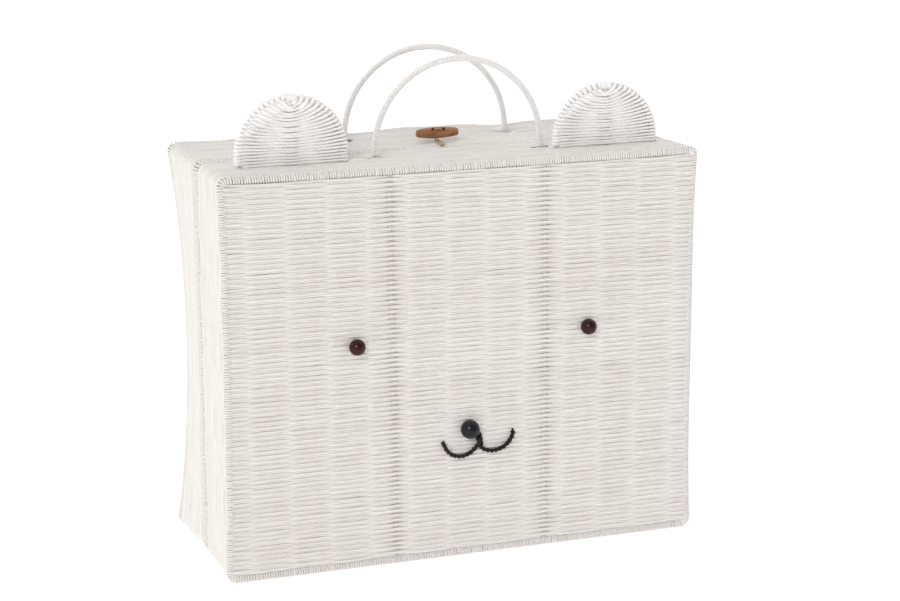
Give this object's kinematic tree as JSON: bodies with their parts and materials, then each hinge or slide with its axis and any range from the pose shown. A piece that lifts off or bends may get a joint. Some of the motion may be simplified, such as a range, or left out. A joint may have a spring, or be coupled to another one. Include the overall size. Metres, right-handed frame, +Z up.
{
  "type": "wicker storage trunk",
  "caption": "Upright woven wicker storage trunk of two tray shells hinged below, with a bear face and ears, hoop handles and a toggle closure.",
  "frame": {"origin": "middle of the base of the whole object's box", "axes": "+X to the trunk's right as seen from its face, -Y the face, +Z up"},
  "size_m": [0.5, 0.2188, 0.5048],
  "materials": {
    "painted_wicker": "white paint, thin, satin, on woven rattan strand",
    "painted_cane": "white paint on split cane",
    "rattan_rod": "plain rattan rod",
    "eye_bead": "dark red glossy bead",
    "nose_bead": "black glossy bead",
    "washer": "plain",
    "black_yarn": "two-ply twisted yarn",
    "toggle_wood": "turned brown wood, satin",
    "thread": "white sewing cord",
    "closure_cord": "tan waxed cord"
  },
  "bodies": {
    "back_shell": {"back_face_rod": "rattan_rod", "back_rim_rod": "rattan_rod", "back_face_binding": "painted_wicker", "back_rim_binding": "painted_wicker", "back_face_stakes": "rattan_rod", "back_wall_stakes": "rattan_rod", "back_stiffeners": "rattan_rod", "back_face_weave": "painted_wicker", "back_top_weave": "painted_wicker", "back_bottom_weave": "painted_wicker", "back_left_weave": "painted_wicker", "back_right_weave": "painted_wicker", "back_handle_pegs": "rattan_rod", "hinge_ties": "painted_cane"},
    "front_shell": {"front_face_rod": "rattan_rod", "front_rim_rod": "rattan_rod", "front_face_binding": "painted_wicker", "front_rim_binding": "painted_wicker", "front_face_stakes": "rattan_rod", "front_wall_stakes": "rattan_rod", "front_stiffeners": "rattan_rod", "front_face_weave": "painted_wicker", "front_top_weave": "painted_wicker", "front_bottom_weave": "painted_wicker", "front_left_weave": "painted_wicker", "front_right_weave": "painted_wicker", "left_ear_hoop": "rattan_rod", "left_ear_stake": "rattan_rod", "left_ear_weave": "painted_wicker", "right_ear_hoop": "rattan_rod", "right_ear_stake": "rattan_rod", "right_ear_weave": "painted_wicker", "left_eye": "eye_bead", "right_eye": "eye_bead", "nose": "nose_bead", "bead_washers": "washer", "mouth_left": "black_yarn", "mouth_right": "black_yarn", "front_handle_pegs": "rattan_rod", "closure_loop": "closure_cord", "closure_knot": "closure_cord"},
    "front_handle": {"front_handle_core": "rattan_rod", "front_handle_binding": "painted_wicker"},
    "back_handle": {"back_handle_core": "rattan_rod", "back_handle_binding": "painted_wicker"},
    "toggle": {"toggle": "toggle_wood", "toggle_thread": "thread"}
  },
  "joints": [
    {"name": "front_shell_hinge", "type": "hinge", "parent": "back_shell", "child": "front_shell", "pos_m": [0, 0.00743, -0.0003], "axis": [1, 0, 0], "range_deg": [0, 175], "deforming": ["closure_loop", "hinge_ties"]},
    {"name": "front_handle_pivot", "type": "hinge", "parent": "front_shell", "child": "front_handle", "pos_m": [0, -0.02857, 0.4028], "axis": [1, 0, 0], "range_deg": [-20, 30]},
    {"name": "back_handle_pivot", "type": "hinge", "parent": "back_shell", "child": "back_handle", "pos_m": [0, 0.07143, 0.4028], "axis": [1, 0, 0], "range_deg": [-30, 20]},
    {"name": "toggle_turn", "type": "hinge", "parent": "back_shell", "child": "toggle", "pos_m": [0.014, 0.03093, 0.4166], "axis": [0, 0, 1], "range_deg": [-90, 90]}
  ]
}
